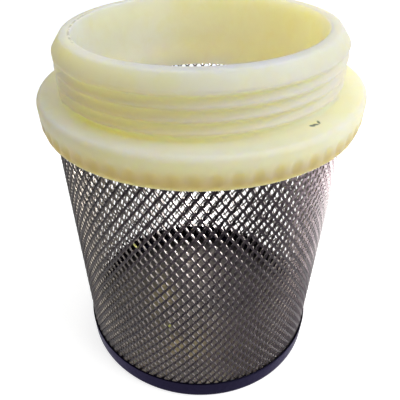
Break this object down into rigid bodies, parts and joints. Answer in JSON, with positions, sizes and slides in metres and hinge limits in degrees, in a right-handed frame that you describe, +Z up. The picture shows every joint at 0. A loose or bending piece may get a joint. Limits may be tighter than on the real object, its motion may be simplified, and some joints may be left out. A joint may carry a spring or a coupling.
{
  "type": "foot valve strainer",
  "caption": "Suction strainer basket of a foot valve: nylon collar with a male pipe thread, diamond-mesh steel sleeve and a pressed steel end cap.",
  "frame": {"origin": "middle of the end cap's flat underside, on the axis, at the lowest point of the part", "axes": "+Z up along the axis of the collar and sleeve, from the end cap to the male thread; +X and +Y square to it"},
  "size_m": [0.0692, 0.0692, 0.0844],
  "materials": {
    "collar_nylon": "satin moulded nylon, ivory, slightly translucent",
    "mesh_steel": "satin stainless steel diamond mesh",
    "cap_steel": "satin pressed stainless steel sheet"
  },
  "bodies": {
    "root": {"threaded_collar": "collar_nylon", "mesh_sleeve": "mesh_steel", "end_cap": "cap_steel"}
  },
  "joints": []
}
